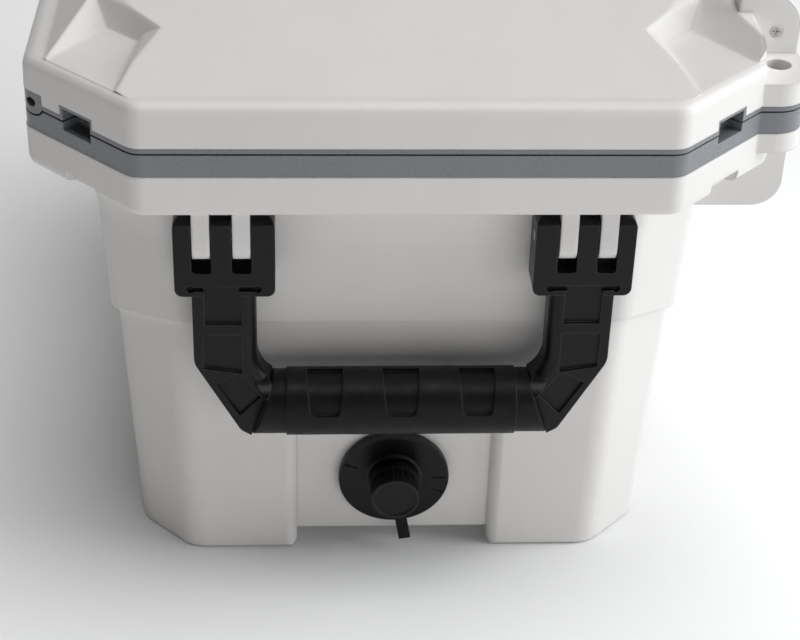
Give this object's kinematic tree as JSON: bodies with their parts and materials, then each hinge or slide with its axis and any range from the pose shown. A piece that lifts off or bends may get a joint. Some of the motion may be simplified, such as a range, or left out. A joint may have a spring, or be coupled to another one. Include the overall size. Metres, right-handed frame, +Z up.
{
  "type": "cooler chest",
  "caption": "Hard cooler chest with chamfered corners, hinged insulated lid, rubber strap latches, swinging end handles and a screw-capped drain.",
  "frame": {"origin": "on the floor, under the middle of the whole footprint with the front latches included", "axes": "+X along the chest away from the drain, +Y towards the hinge side, +Z up"},
  "size_m": [0.5466, 0.4288, 0.346],
  "materials": {
    "white_shell": "off-white moulded plastic with a fine grain",
    "grey_plastic": "mid grey satin plastic",
    "black_plastic": "black moulded plastic, fine grain",
    "black_rubber": "black rubber, matt",
    "steel": "plain stainless steel",
    "foam": "rigid insulating foam"
  },
  "bodies": {
    "tub": {"drain_flange": "black_plastic", "drain_gasket": "black_rubber", "drain_nut": "black_plastic", "foot_pad_front_left": "black_rubber", "foot_pad_front_right": "black_rubber", "foot_pad_rear_left": "black_rubber", "foot_pad_rear_right": "black_rubber", "handle_left_pin_front": "steel", "handle_left_pin_rear": "steel", "handle_right_pin_front": "steel", "handle_right_pin_rear": "steel", "hinge_rod": "steel", "keeper_left": "grey_plastic", "keeper_left_screws": "steel", "keeper_right": "grey_plastic", "keeper_right_screws": "steel", "rim_band": "grey_plastic", "tub_foam_floor": "foam", "tub_foam_front": "foam", "tub_foam_left": "foam", "tub_foam_rear": "foam", "tub_foam_right": "foam", "tub_knuckle_1": "grey_plastic", "tub_knuckle_2": "grey_plastic", "tub_knuckle_3": "grey_plastic", "tub_knuckle_4": "grey_plastic", "tub_liner": "white_shell", "tub_shell": "white_shell"},
    "lid": {"latch_left_pin": "steel", "latch_left_screws": "steel", "latch_right_pin": "steel", "latch_right_screws": "steel", "lid_barrel_1": "grey_plastic", "lid_barrel_2": "grey_plastic", "lid_barrel_3": "grey_plastic", "lid_barrel_4": "grey_plastic", "lid_barrel_5": "grey_plastic", "lid_foam": "foam", "lid_gasket": "black_rubber", "lid_liner": "white_shell", "lid_shell": "white_shell", "lid_trim": "grey_plastic"},
    "latch_left": {"latch_left_strap": "black_rubber", "latch_left_bush": "grey_plastic"},
    "latch_right": {"latch_right_strap": "black_rubber", "latch_right_bush": "grey_plastic"},
    "handle_left": {"handle_left_arm_rear": "black_plastic", "handle_left_arm_front": "black_plastic", "handle_left_grip": "black_rubber", "handle_left_core": "steel"},
    "handle_right": {"handle_right_arm_rear": "black_plastic", "handle_right_arm_front": "black_plastic", "handle_right_grip": "black_rubber", "handle_right_core": "steel"},
    "drain_tether": {"drain_tether": "black_rubber"},
    "drain_cap": {"drain_cap": "black_plastic", "drain_cap_seal": "black_rubber"}
  },
  "joints": [
    {"name": "lid_hinge", "type": "hinge", "parent": "tub", "child": "lid", "pos_m": [0, 0.20792, 0.2971], "axis": [-1, 0, 0], "range_deg": [0, 95]},
    {"name": "latch_left_swing", "type": "hinge", "parent": "lid", "child": "latch_left", "pos_m": [-0.145, -0.19648, 0.324], "axis": [-1, 0, 0], "range_deg": [-4, 110]},
    {"name": "latch_right_swing", "type": "hinge", "parent": "lid", "child": "latch_right", "pos_m": [0.145, -0.19648, 0.324], "axis": [-1, 0, 0], "range_deg": [-4, 110]},
    {"name": "handle_left_swing", "type": "hinge", "parent": "tub", "child": "handle_left", "pos_m": [-0.253, 0.00952, 0.238], "axis": [0, 1, 0], "range_deg": [0, 110]},
    {"name": "handle_right_swing", "type": "hinge", "parent": "tub", "child": "handle_right", "pos_m": [0.253, 0.00952, 0.238], "axis": [0, -1, 0], "range_deg": [0, 110]},
    {"name": "drain_cap_travel", "type": "slide", "parent": "tub", "child": "drain_tether", "axis": [-0.9988, 0, -0.0499], "range_m": [0, 0.012]},
    {"name": "drain_cap_turn", "type": "hinge", "parent": "drain_tether", "child": "drain_cap", "pos_m": [-0.222, 0.00952, 0.053], "axis": [-0.9988, 0, -0.0499], "range_deg": [0, 1080]}
  ],
  "couplings": [
    {"joint": "drain_cap_travel", "follows": "drain_cap_turn", "m_per_rad": 0.00063661}
  ]
}
